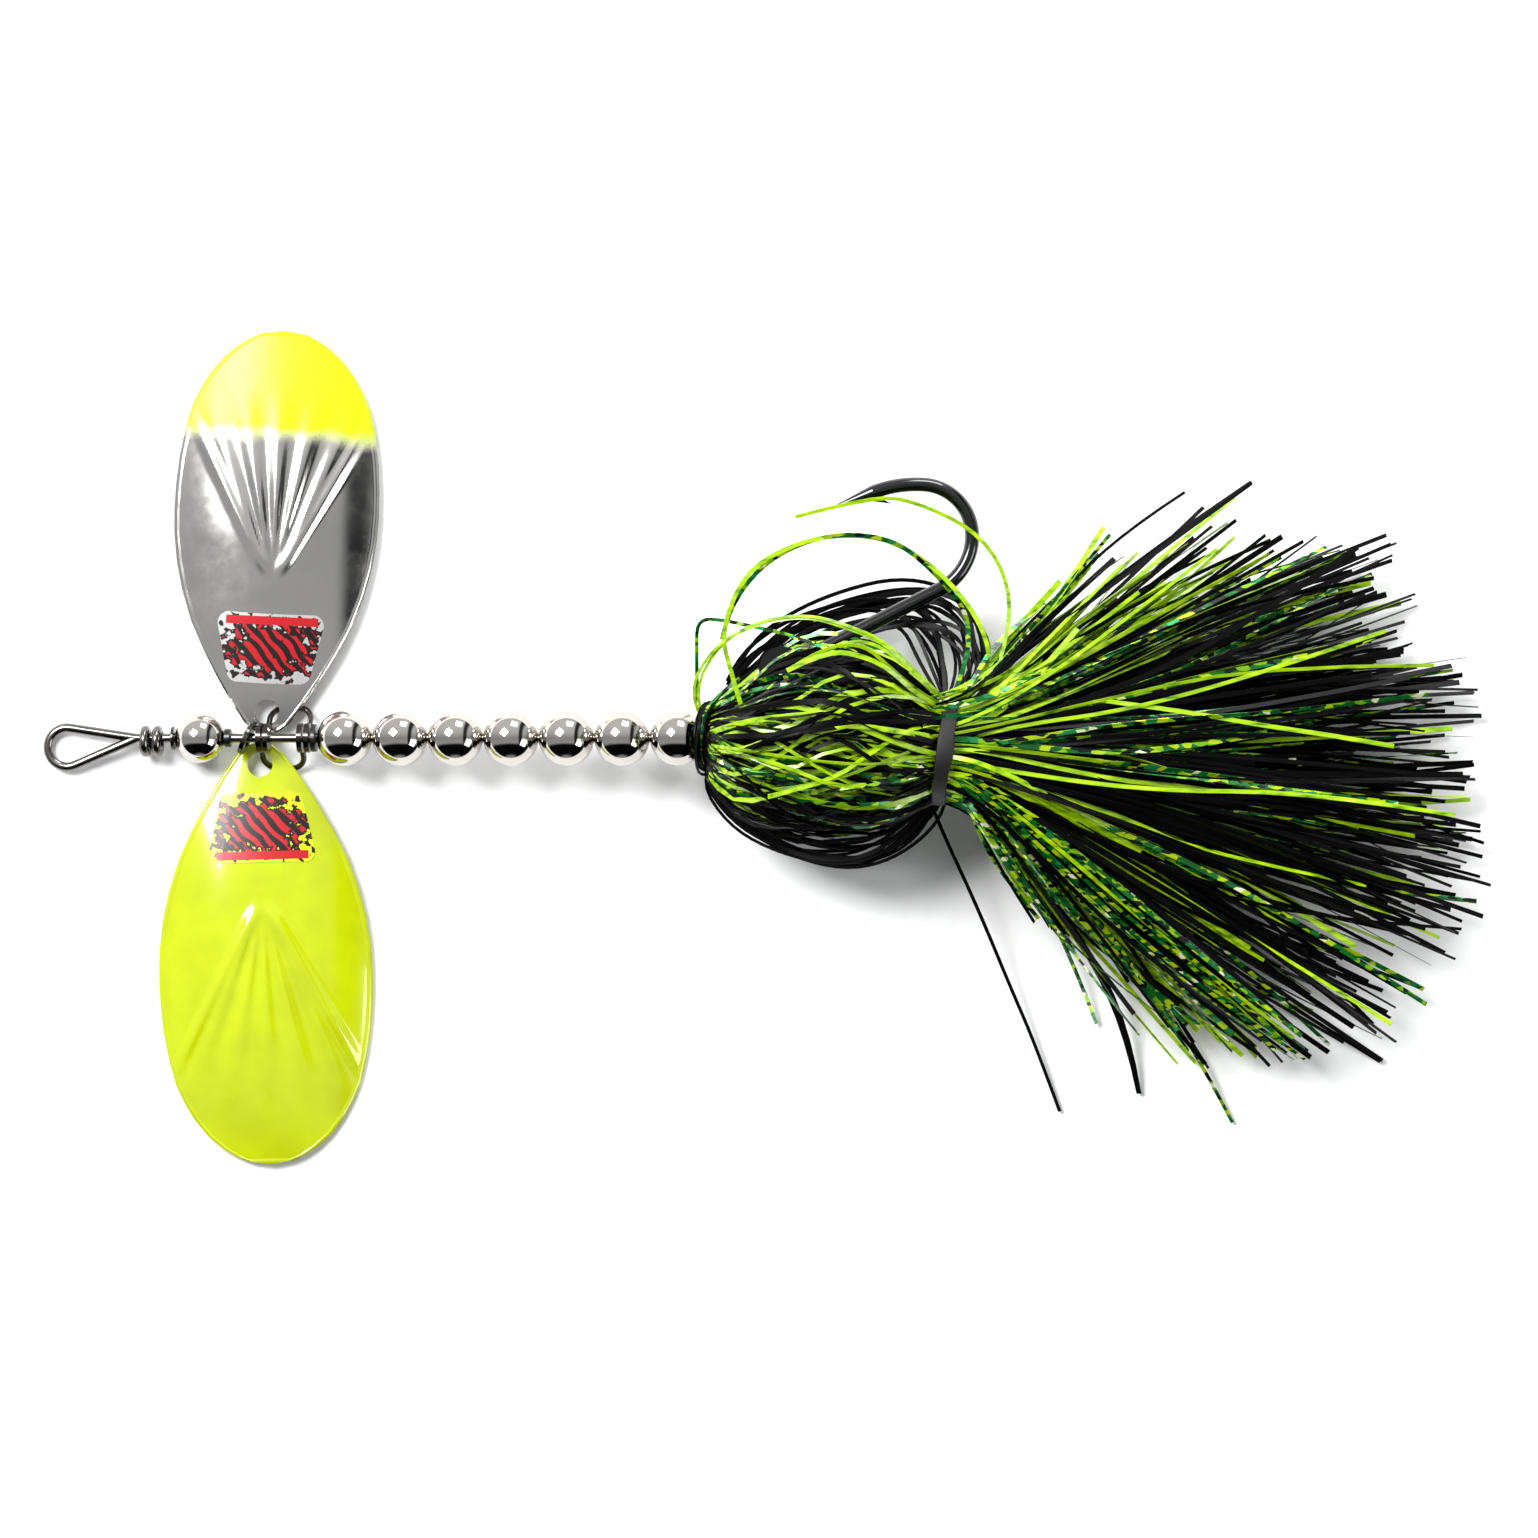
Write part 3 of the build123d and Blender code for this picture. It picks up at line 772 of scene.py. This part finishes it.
# Strands that stand out of the bulb and the tail: film, how many, how far they scatter, and their common run.
STRAYS: tuple[tuple[str, int, float, tuple[tuple[float, float, float], ...]], ...] = (
    ("chartreuse", 1, 0.0, (
        (3, 31.4, 16.2), (13.7, 34.2, 17.5), (19.5, 33.8, 18.2), (29.5, 29, 18.6), (33.8, 21, 18),
        (32.7, 12, 17.5), (29.7, 6.5, 17), (24, 3, 17),
    )),
    ("chartreuse", 1, 0.0, (
        (-4.5, 4, 18), (-6.2, 9.5, 19), (-7.6, 15, 20), (-4.2, 23.6, 21), (3, 27.6, 21), (10, 28.9, 20),
        (17, 28, 20), (24, 23.2, 20), (29.6, 16.1, 19), (31, 9.5, 18), (28, 5, 17), (24, 3, 17),
    )),
    ("foil", 1, 0.0, (
        (-7.4, 14, 17), (-6.6, 18, 18), (-2.2, 24.2, 19), (4, 27.8, 20), (10.5, 29, 21), (17, 28, 21),
        (21.5, 24.6, 20), (25.3, 20.6, 19), (27.6, 17, 18), (27.6, 11, 18), (25, 5, 17),
    )),
    ("foil", 1, 0.0, (
        (-11, 5, 12), (-11, 12, 15), (-11, 16.8, 17), (-7.7, 16.8, 18), (-3.6, 15.9, 19), (2.7, 14.5, 22),
        (9, 12, 25),
    )),
    ("chartreuse", 2, 0.5, (
        (-9.8, 2, 14), (-12, 6, 17), (-8, 13, 21), (-2.2, 16, 24), (4.7, 17.2, 26), (10.5, 16, 27),
        (16, 13.2, 26), (21.3, 7.9, 22), (24, 5.5, 19),
    )),
    ("chartreuse", 3, 0.9, (
        (2, 9.5, 29), (8, 13, 29.5), (13, 12.5, 29), (17, 9.5, 27), (21, 6.6, 24), (24, 4.5, 21),
    )),
    ("black", 9, 1.1, (
        (-6, 8, 13), (-3, 12, 11), (3, 16, 9), (10, 19, 8), (18, 21, 7.6), (24.5, 20.4, 8), (28.5, 16.5, 10),
        (29.8, 11, 13), (28, 6, 15), (24, 4, 16),
    )),
    ("black", 8, 1.3, (
        (-2, 10, 13), (4, 15, 10), (11, 17.5, 9), (18, 18, 8), (22, 16, 9), (24.3, 11, 12), (24.4, 6, 15),
    )),
    ("black", 5, 1.3, (
        (14, 15, 9), (20, 16.5, 9), (26, 14.6, 11), (29, 10, 14), (28.5, 6.5, 16), (25, 4, 16),
    )),
    ("black", 9, 1.0, (
        (-8.5, -3.5, 13), (-9.8, -6, 12), (-6, -12, 11), (0.5, -16, 11), (8, -18.2, 12), (14.5, -17.4, 13),
        (19.5, -13.6, 14.5), (22.6, -9.6, 16), (24, -7, 16.5),
    )),
    ("black", 7, 1.2, (
        (-8, -3, 12), (-9, -5.5, 9), (-4, -10.5, 7), (2, -14, 6), (9, -15.5, 7), (15, -14.4, 9),
        (20, -11, 12), (24, -7.5, 15),
    )),
    ("black", 12, 0.75, (
        (-9, -4.2, 17), (-4.5, -1.6, 25), (2, 0.6, 29.4), (9, 2.0, 30.2), (16, 2.6, 28), (21, 2.5, 25),
        (24, 2.2, 23.4),
    )),
    ("black", 6, 0.5, (
        (-7.4, -4.4, 12), (-10, -5.2, 13), (-11, -2.4, 17), (-10.8, 2, 17.4), (-10, 5.2, 14),
        (-7.2, 4.8, 12),
    )),
    ("foil", 2, 0.5, (
        (-7.4, -3.4, 12), (-10, -5, 14), (-11, 1, 18.4), (-9.6, 5, 16), (-5, 8.4, 17),
    )),
    ("black", 1, 0.0, (
        (22, -8.6, 13), (23.8, -13, 10), (29, -24, 6), (34, -36, 3), (37.5, -44, 1.4), (41, -53.6, 0.7),
    )),
    ("black", 1, 0.0, (
        (24, 2.5, 16), (29, 9, 16), (40, 20, 13), (50, 29.5, 9), (58.8, 35.2, 5),
    )),
    ("black", 2, 0.5, (
        (24, 3.2, 17), (30, 9, 17), (45, 20.5, 16), (58, 30, 13), (68, 36.6, 9),
    )),
    ("foil", 1, 0.0, (
        (24, -5, 16), (29, -11, 13), (37, -21, 8), (42, -30, 4), (46.3, -41, 1),
    )),
    ("chartreuse", 1, 0.0, (
        (24, -5, 16.5), (29, -11, 14), (40, -24, 9), (52, -37, 4), (60.5, -46.6, 1),
    )),
    ("foil", 1, 0.0, (
        (24, -4.4, 16), (31, -11, 14), (46, -27, 8), (58, -40, 3), (65.8, -55.2, 0.7),
    )),
    ("black", 2, 0.4, (
        (24, -4.8, 17), (31, -12, 15), (43, -27, 9), (50, -40, 3), (52.3, -50.8, 0.7),
    )),
    ("black", 2, 0.5, (
        (24, -3.8, 18), (35, -12, 17), (52, -23, 12), (69, -35, 6), (87.2, -46.4, 0.7),
    )),
    ("chartreuse", 1, 0.0, (
        (24, -1, 22), (33, 1.6, 23), (50, 3.8, 22), (70, 9.4, 18), (87, 15.2, 14),
    )),
    ("foil", 1, 0.0, (
        (24, -2, 22.5), (34, -0.4, 24), (52, 2.4, 23), (73, 3.6, 19), (93, 6.2, 15),
    )),
    ("chartreuse", 1, 0.0, (
        (47, 5.2, 20.5), (57, 3.9, 21), (70, 1.6, 20), (80, 0.2, 18.5), (88, -1.2, 17),
    )),
    ("chartreuse", 1, 0.0, (
        (24, -3, 22), (34, -5, 23), (54, -7.6, 21.5), (76, -7.6, 18), (97, -11, 13),
    )),
)


@dataclass
class Skirt:
    """The flash skirt: a hollow bulb of strands folded forward over the last bead, the band, and the tail fan."""

    films: StrandFilms
    band: SkirtBand
    seed: int = 11
    front_x: float = -9.2
    front_z: float = 12.6
    bulge: float = 17.0
    bulb_strands: int = 620
    core_strands: int = 190
    tail_locks: int = 112
    tuft_strands: int = 46
    tuft_reach: float = 80.0
    core_width: float = 1.5
    drift: float = 0.42  # radians that a looped strand turns round the bulb on its way
    wobble: float = 0.13
    puff: float = 0.06
    flattening: float = 0.93
    near_side: float = 0.8  # share of the full bulge left on the side away from the hook
    hook_side_front: float = 0.48
    hook_side_back: float = 0.94
    floor_z: float = 0.7

    def __post_init__(self) -> None:
        """Starts the skirt's own run of random numbers."""
        self.random = random.Random(self.seed)

    def pick(self, shares: tuple[float, float, float]) -> StrandKind:
        """Picks a film by its shares of black, chartreuse and foil."""
        return self.random.choices(list(StrandKind), weights=shares)[0]

    def clamp(self, point: Vector) -> Vector:
        """Keeps a point off the surface that the lure lies on."""
        return Vector((point.x, point.y, max(point.z, self.floor_z)))

    def bulb_shares(self, side: float, upper: bool) -> tuple[float, float, float]:
        """How common each film is by the side of the bulb it runs on.

        Args:
            side: from -1 at one side to 1 at the other.
            upper: whether it is on the face turned up.

        Returns:
            The shares of black, chartreuse and foil.
        """
        if not upper:
            return (0.6, 0.2, 0.2)
        if side < -0.7:
            return (0.88, 0.07, 0.05)
        if side < -0.36:
            return (0.26, 0.38, 0.36)
        if side < 0.14:
            return (0.12, 0.54, 0.34)
        if side < 0.26:
            return (0.7, 0.18, 0.12)
        if side < 0.5:
            return (0.3, 0.48, 0.22)
        return (0.8, 0.1, 0.1)

    def bulb_route(self, turn: float, fill: float) -> list[Vector]:
        """One strand's run from the last bead, round the bulb and into the band.

        Args:
            turn: where round the bulb it runs, 0 towards +Y and a quarter turn straight up, in radians.
            fill: how far out it bulges, as a share of the outermost strands.

        Returns:
            The points of the run.
        """
        profile = (
            (0.22, 0.17), (0.06, 0.24), (0.0, 0.27), (0.0, 0.5), (0.13, 0.85), (0.33, 1.02), (0.55, 1.03),
            (0.77, 0.86), (0.93, 0.58), (1.03, 0.4),
        )
        start = Vector((self.front_x, 0, self.front_z))
        end = self.band.centre
        drift = self.random.gauss(0, self.drift)
        wobble = [self.random.gauss(0, self.wobble) for _ in profile]
        puff = [self.random.gauss(1, self.puff) for _ in profile]
        points = []
        for (run, bulge), sway, swell in zip(profile, wobble, puff):
            middle = start.lerp(end, run)
            inner = max(0.0, 1 - abs(run - 0.5) * 2)
            angle = turn + drift * (run - 0.5) * 2 + sway * inner
            reach = self.bulge * bulge * swell * mix(1.0, fill, min(1.0, 0.25 + inner)) * self.trim(angle, run)
            out = Vector((0, math.cos(angle), math.sin(angle) * self.flattening))
            points.append(self.clamp(middle + out * reach))
        return points

    def trim(self, angle: float, run: float) -> float:
        """How far the bulb's outline is drawn in.

        Args:
            angle: where round the bulb, 0 towards +Y, in radians.
            run: how far along the bulb, from 0 at the last bead to 1 at the band.

        Returns:
            A share of the full reach.
        """
        side = math.cos(angle)
        if side < 0:
            return mix(1.0, self.near_side, smooth(-side * 1.3))
        far = mix(self.hook_side_front, self.hook_side_back, smooth((run - 0.08) / 0.4))
        return mix(1.0, far, smooth(side * 1.5))

    def bulb(self) -> list[Strand]:
        """The strands of the bulb."""
        strands = []
        for i in range(self.bulb_strands):
            turn = 2 * math.pi * (i + self.random.random()) / self.bulb_strands
            fill = 1 - 0.55 * self.random.random() ** 1.2
            side = math.cos(turn)
            kind = self.pick(self.bulb_shares(side, math.sin(turn) > -0.1))
            if abs(side) > 0.62 and fill > 0.9 and self.random.random() < 0.55:
                fill -= 0.25
            strands.append(
                Strand(
                    self.bulb_route(turn, fill),
                    kind,
                    self.random.uniform(0.42, 0.78),
                    -math.cos(turn) * 1.1 + self.random.gauss(0, 0.45),
                    self.random.gauss(0, 0.8),
                )
            )
        return strands

    def core(self) -> list[Strand]:
        """The dark strands inside the bulb, which close the view through it."""
        strands = []
        for _ in range(self.core_strands):
            turn = self.random.uniform(0, 2 * math.pi)
            route = self.bulb_route(turn, self.random.uniform(0.25, 0.7))
            strands.append(Strand(route, StrandKind.BLACK, self.core_width, self.random.gauss(0, 0.8)))
        return strands

    def tail_reach(self, angle: float) -> float:
        """How far the longest strands reach from the band at an angle from +X, in degrees."""
        left = ((-64, 44), (-55, 58), (-46, 66), (-35, 76), (-22, 81))
        right = ((-4, 81), (12, 78), (24, 73), (34, 63), (46, 52))
        return along_pairs(left + right, angle)

    def tail_shares(self, angle: float, top: float, short: float) -> tuple[float, float, float]:
        """How common each film is in the tail.

        Args:
            angle: the strand's angle from +X, in degrees.
            top: from 0 at the underside of the fan to 1 at its top.
            short: how much of the full reach it lacks.

        Returns:
            The shares of black, chartreuse and foil.
        """
        if top < 0.45:
            return (0.78, 0.13, 0.09)
        if short > 0.34:
            return (0.16, 0.46, 0.38)
        if angle > 27:
            return (0.42, 0.48, 0.1)
        if angle > 14:
            return (0.58, 0.2, 0.22)
        if angle > -10:
            return (0.78, 0.11, 0.11)
        if angle > -34:
            return (0.52, 0.26, 0.22)
        return (0.52, 0.32, 0.16)

    def tail_strand(self, angle: float, top: float, reach: float, kind: StrandKind) -> Strand:
        """One strand of the tail.

        Args:
            angle: its heading from +X, in degrees.
            top: from 0 at the underside of the fan to 1 at its top.
            reach: how far its tip lies from the band.
            kind: its film.

        Returns:
            The strand.
        """
        across = (angle + 9) / 51
        out = Vector((math.cos(math.radians(angle)), math.sin(math.radians(angle)), 0))
        root_z = (top - 0.5) * 10.5 + self.random.gauss(0, 0.8)
        root = self.band.centre + Vector((-1.8, across * 4.6 + self.random.gauss(0, 1.2), root_z))
        end = self.band.centre + out * reach
        end.z = mix(0.8, 16.0, top) * mix(1.0, 0.72, reach / 81) + self.random.gauss(0, 0.8)
        bow = Vector((-out.y, out.x, 0)) * self.random.gauss(0, 0.03) * reach
        mid_1 = root + Vector((4.4, across, root_z * 0.05))
        mid_2 = root.lerp(end, 0.34) + bow * 0.7 + Vector((1.5, -out.y * 2.2, 1.2))
        mid_3 = root.lerp(end, 0.66) + bow + Vector((0, -out.y * 1.6, 0.9))
        route = [self.clamp(point) for point in (root, mid_1, mid_2, mid_3, end)]
        return Strand(
            route, kind, self.random.uniform(0.42, 0.8), self.random.gauss(0, 0.5), self.random.gauss(0, 0.9)
        )

    def tail(self) -> list[Strand]:
        """The strands of the tail fan, in locks that share a heading, a length and mostly a film."""
        strands = []
        for i in range(self.tail_locks):
            share = (i * GOLDEN) % 1
            share = mix(share, 0.5 + 0.5 * math.sin((share - 0.5) * math.pi), -0.25)
            angle = mix(-58, 42, share)
            top = self.random.random()
            short = self.random.random() ** 1.5 * 0.56
            edge = smooth((abs(share - 0.5) - 0.3) / 0.2)
            short += edge * self.random.random() * 0.15
            main = self.pick(self.tail_shares(angle, top, short))
            for _ in range(self.random.randint(5, int(mix(13, 8, edge)))):
                heading = angle + self.random.gauss(0, 2.3)
                level = top + self.random.gauss(0, 0.09)
                cut = short + abs(self.random.gauss(0, 0.08))
                kind = main if self.random.random() < 0.68 else self.pick(self.tail_shares(heading, level, short))
                strands.append(self.tail_strand(heading, level, self.tail_reach(heading) * (1 - cut), kind))
        for _ in range(self.tuft_strands):
            heading = self.random.uniform(22, 56)
            short = self.random.uniform(0.5, 0.8)
            kind = self.pick((0.15, 0.5, 0.35))
            level = self.random.uniform(0.6, 1.05)
            strands.append(self.tail_strand(heading, level, self.tuft_reach * (1 - short), kind))
        return strands

    def loose(self) -> list[Strand]:
        """The stray strands, each laid along a listed run from the hub."""
        strands = []
        for film, count, spread, route in STRAYS:
            for _ in range(count):
                shift = Vector([self.random.gauss(0, spread) for _ in range(3)])
                points = []
                for i, place in enumerate(route):
                    held = 0.25 if i in (0, len(route) - 1) else 1.0
                    stray = Vector([self.random.gauss(0, spread * 0.3) for _ in range(3)])
                    points.append(self.clamp(Vector(place) + (shift + stray) * held))
                width = self.random.uniform(0.4, 0.62)
                roll = self.random.gauss(0, 0.25)
                strands.append(Strand(points, StrandKind[film.upper()], width, roll, self.random.gauss(0, 0.3)))
        return strands

    def build(self) -> list[bpy.types.Object]:
        """Lays every strand.

        Returns:
            The bulb, the tail and the stray strands, riding on the shaft.
        """
        skirt = sorted(name for name in frame["nodes"] if name.startswith("skirt_") and name != "skirt_hub")
        tails = sorted(name for name in frame["nodes"] if name.startswith("tail_"))
        bulb = self.films.lay("skirt_bulb_strands", self.bulb() + self.core(), 2)
        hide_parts("strand_bundle", *skirt)
        tail = self.films.lay("skirt_tail_strands", self.tail(), 3)
        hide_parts(*tails)
        stray = self.films.lay("skirt_stray_strands", self.loose(), 4)
        return [bulb, tail, stray]


# --- the pieces that keep their shape -------------------------------------------------------------
@dataclass
class Hardware:
    """The wire, beads, washers, clevises, ring, hook and labels, dressed as they are."""

    def build(self) -> list[bpy.types.Object]:
        """Dresses every piece that keeps its own mesh.

        Returns:
            The dressed pieces.
        """
        nickel, smoked, wire = (metal.material() for metal in (BRIGHT_NICKEL, BLACK_NICKEL, STEEL_WIRE))
        spacer, hook, thread = (coat.material() for coat in (SPACER_BLACK, HOOK_BLACK, THREAD))
        dress: dict[str, bpy.types.Material] = {
            "shaft_wire": wire,
            "front_bead": nickel,
            "nose_washer": smoked,
            "thrust_bush": spacer,
            "cup_washer": smoked,
            "clevis_chartreuse": smoked,
            "clevis_nickel": smoked,
            "rear_washer": spacer,
            "split_ring": smoked,
            "hook": hook,
            "skirt_hub": spacer,
            "tying_thread": thread,
            "label_chartreuse": LABEL_ON_CHARTREUSE.material(),
            "label_nickel": LABEL_ON_NICKEL.material(),
        }
        done = []
        for name, piece in sorted(frame["nodes"].items()):
            finish = nickel if name.startswith("body_bead") else dress.get(name)
            if finish is None:
                continue
            paint(piece, finish)
            done.append(piece)
        return done


# --- studio --------------------------------------------------------------------------------------
@dataclass
class Studio:
    """A pale floor, a large soft light from behind the left shoulder, fill, and a camera straight above."""

    centre: tuple[float, float] = (-0.73, -4.43)
    seen_width: float = 219.7
    camera_height: float = 1500.0
    mid_height: float = 8.0
    key_power: float = 19.5
    air_strength: float = 0.8

    def light(self, name: str, place: tuple[float, float, float], size: float, power: float) -> None:
        """Hangs a square soft light that faces the lure.

        Args:
            name: the light's name.
            place: where it hangs, in metres.
            size: its side, in metres.
            power: its power, in watts.
        """
        bpy.ops.object.light_add(type="AREA", location=place)
        lamp = bpy.context.active_object
        lamp.name = name
        lamp.data.size = size
        lamp.data.energy = power
        lamp.rotation_euler = (-Vector(place)).to_track_quat("-Z", "Y").to_euler()

    def surroundings(self) -> None:
        """Makes the room that the metal mirrors: pale behind and overhead, with a dark side towards -Y."""
        world = bpy.data.worlds.new("studio_air")
        bpy.context.scene.world = world
        world.use_nodes = True
        tree = world.node_tree
        air = tree.nodes["Background"]
        where = add_node(tree, "TexCoord")
        split = add_node(tree, "SeparateXYZ", links={"Vector": where.outputs["Generated"]})
        room = add_node(
            tree, "ValToRGB",
            stops=[
                (0.0, linear("#B8BABC")), (0.03, linear("#0C0C0D")), (0.27, linear("#101011")),
                (0.34, linear("#C2C4C6")), (0.5, linear("#B4B6B8")), (0.66, linear("#E6E8EA")),
                (0.85, linear("#FFFFFF")),
            ],
        )
        side = add_node(
            tree, "MapRange", values={"From Min": -1.0, "From Max": 1.0}, links={"Value": split.outputs["Y"]}
        )
        tree.links.new(side.outputs["Result"], room.inputs["Fac"])
        ahead = add_node(
            tree, "MapRange", values={"From Min": -1.0, "From Max": 1.0}, links={"Value": split.outputs["X"]}
        )
        doorway = add_node(
            tree, "ValToRGB", links={"Fac": ahead},
            stops=[
                (0.75, linear("#FFFFFF")), (0.79, linear("#3C3E40")), (0.85, linear("#3C3E40")),
                (0.9, linear("#FFFFFF")),
            ],
        )
        both = add_node(
            tree, "Mix", {"data_type": "RGBA", "blend_type": "MULTIPLY"}, {0: 1.0}, links={6: room, 7: doorway}
        )
        tree.links.new(both.outputs[2], air.inputs["Color"])
        air.inputs["Strength"].default_value = self.air_strength

    def build(self) -> None:
        """Sets up the floor, lights, surroundings and camera."""
        bpy.ops.mesh.primitive_plane_add(size=6)
        floor = bpy.context.active_object
        floor.name = "studio_floor"
        paper, tree, shader, here = start_material("white_paper_sweep")
        shader.inputs["Roughness"].default_value = 0.9
        fibre = add_node(tree, "TexNoise", values={"Scale": 400.0, "Detail": 2.0}, links={"Vector": here})
        tone = add_node(
            tree, "ValToRGB", links={"Fac": fibre}, stops=[(0.3, linear("#F6F6F6")), (0.7, linear("#FAFAFA"))]
        )
        tree.links.new(tone.outputs["Color"], shader.inputs["Base Color"])
        paint(floor, paper)
        self.light("key_light", (-0.58, 0.47, 0.95), 0.5, self.key_power)
        self.light("rim_light", (0.2, 0.95, 0.5), 0.4, self.key_power * 0.3)
        self.light("fill_light", (0.9, -0.35, 0.6), 0.5, self.key_power * 0.2)
        self.surroundings()
        bpy.ops.object.camera_add(
            location=(self.centre[0] * MM, (self.centre[1] + MIDLINE.y) * MM, self.camera_height * MM)
        )
        camera = bpy.context.active_object
        camera.name = "overhead_camera"
        camera.data.sensor_width = 36
        camera.data.lens = 36 * (self.camera_height - self.mid_height) / self.seen_width
        camera.data.clip_end = 20
        bpy.context.scene.camera = camera
        bpy.context.scene.view_settings.view_transform = "Standard"


def main() -> None:
    """Builds the lure's looks in order and reports each piece."""
    logging.basicConfig(level=logging.INFO, format="%(message)s")
    band = SkirtBand()
    steps: list[tuple[str, Callable[[], list]]] = [
        ("hardware", Hardware().build),
        ("blades", BladePair().build),
        ("band", lambda: [band.build()]),
        ("skirt", Skirt(StrandFilms(), band).build),
    ]
    for title, step in steps:
        for piece in step():
            log.info("%s: %s, %d faces", title, piece.name, len(piece.data.polygons))
    Studio().build()
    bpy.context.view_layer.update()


if __name__ == "__main__":
    main()
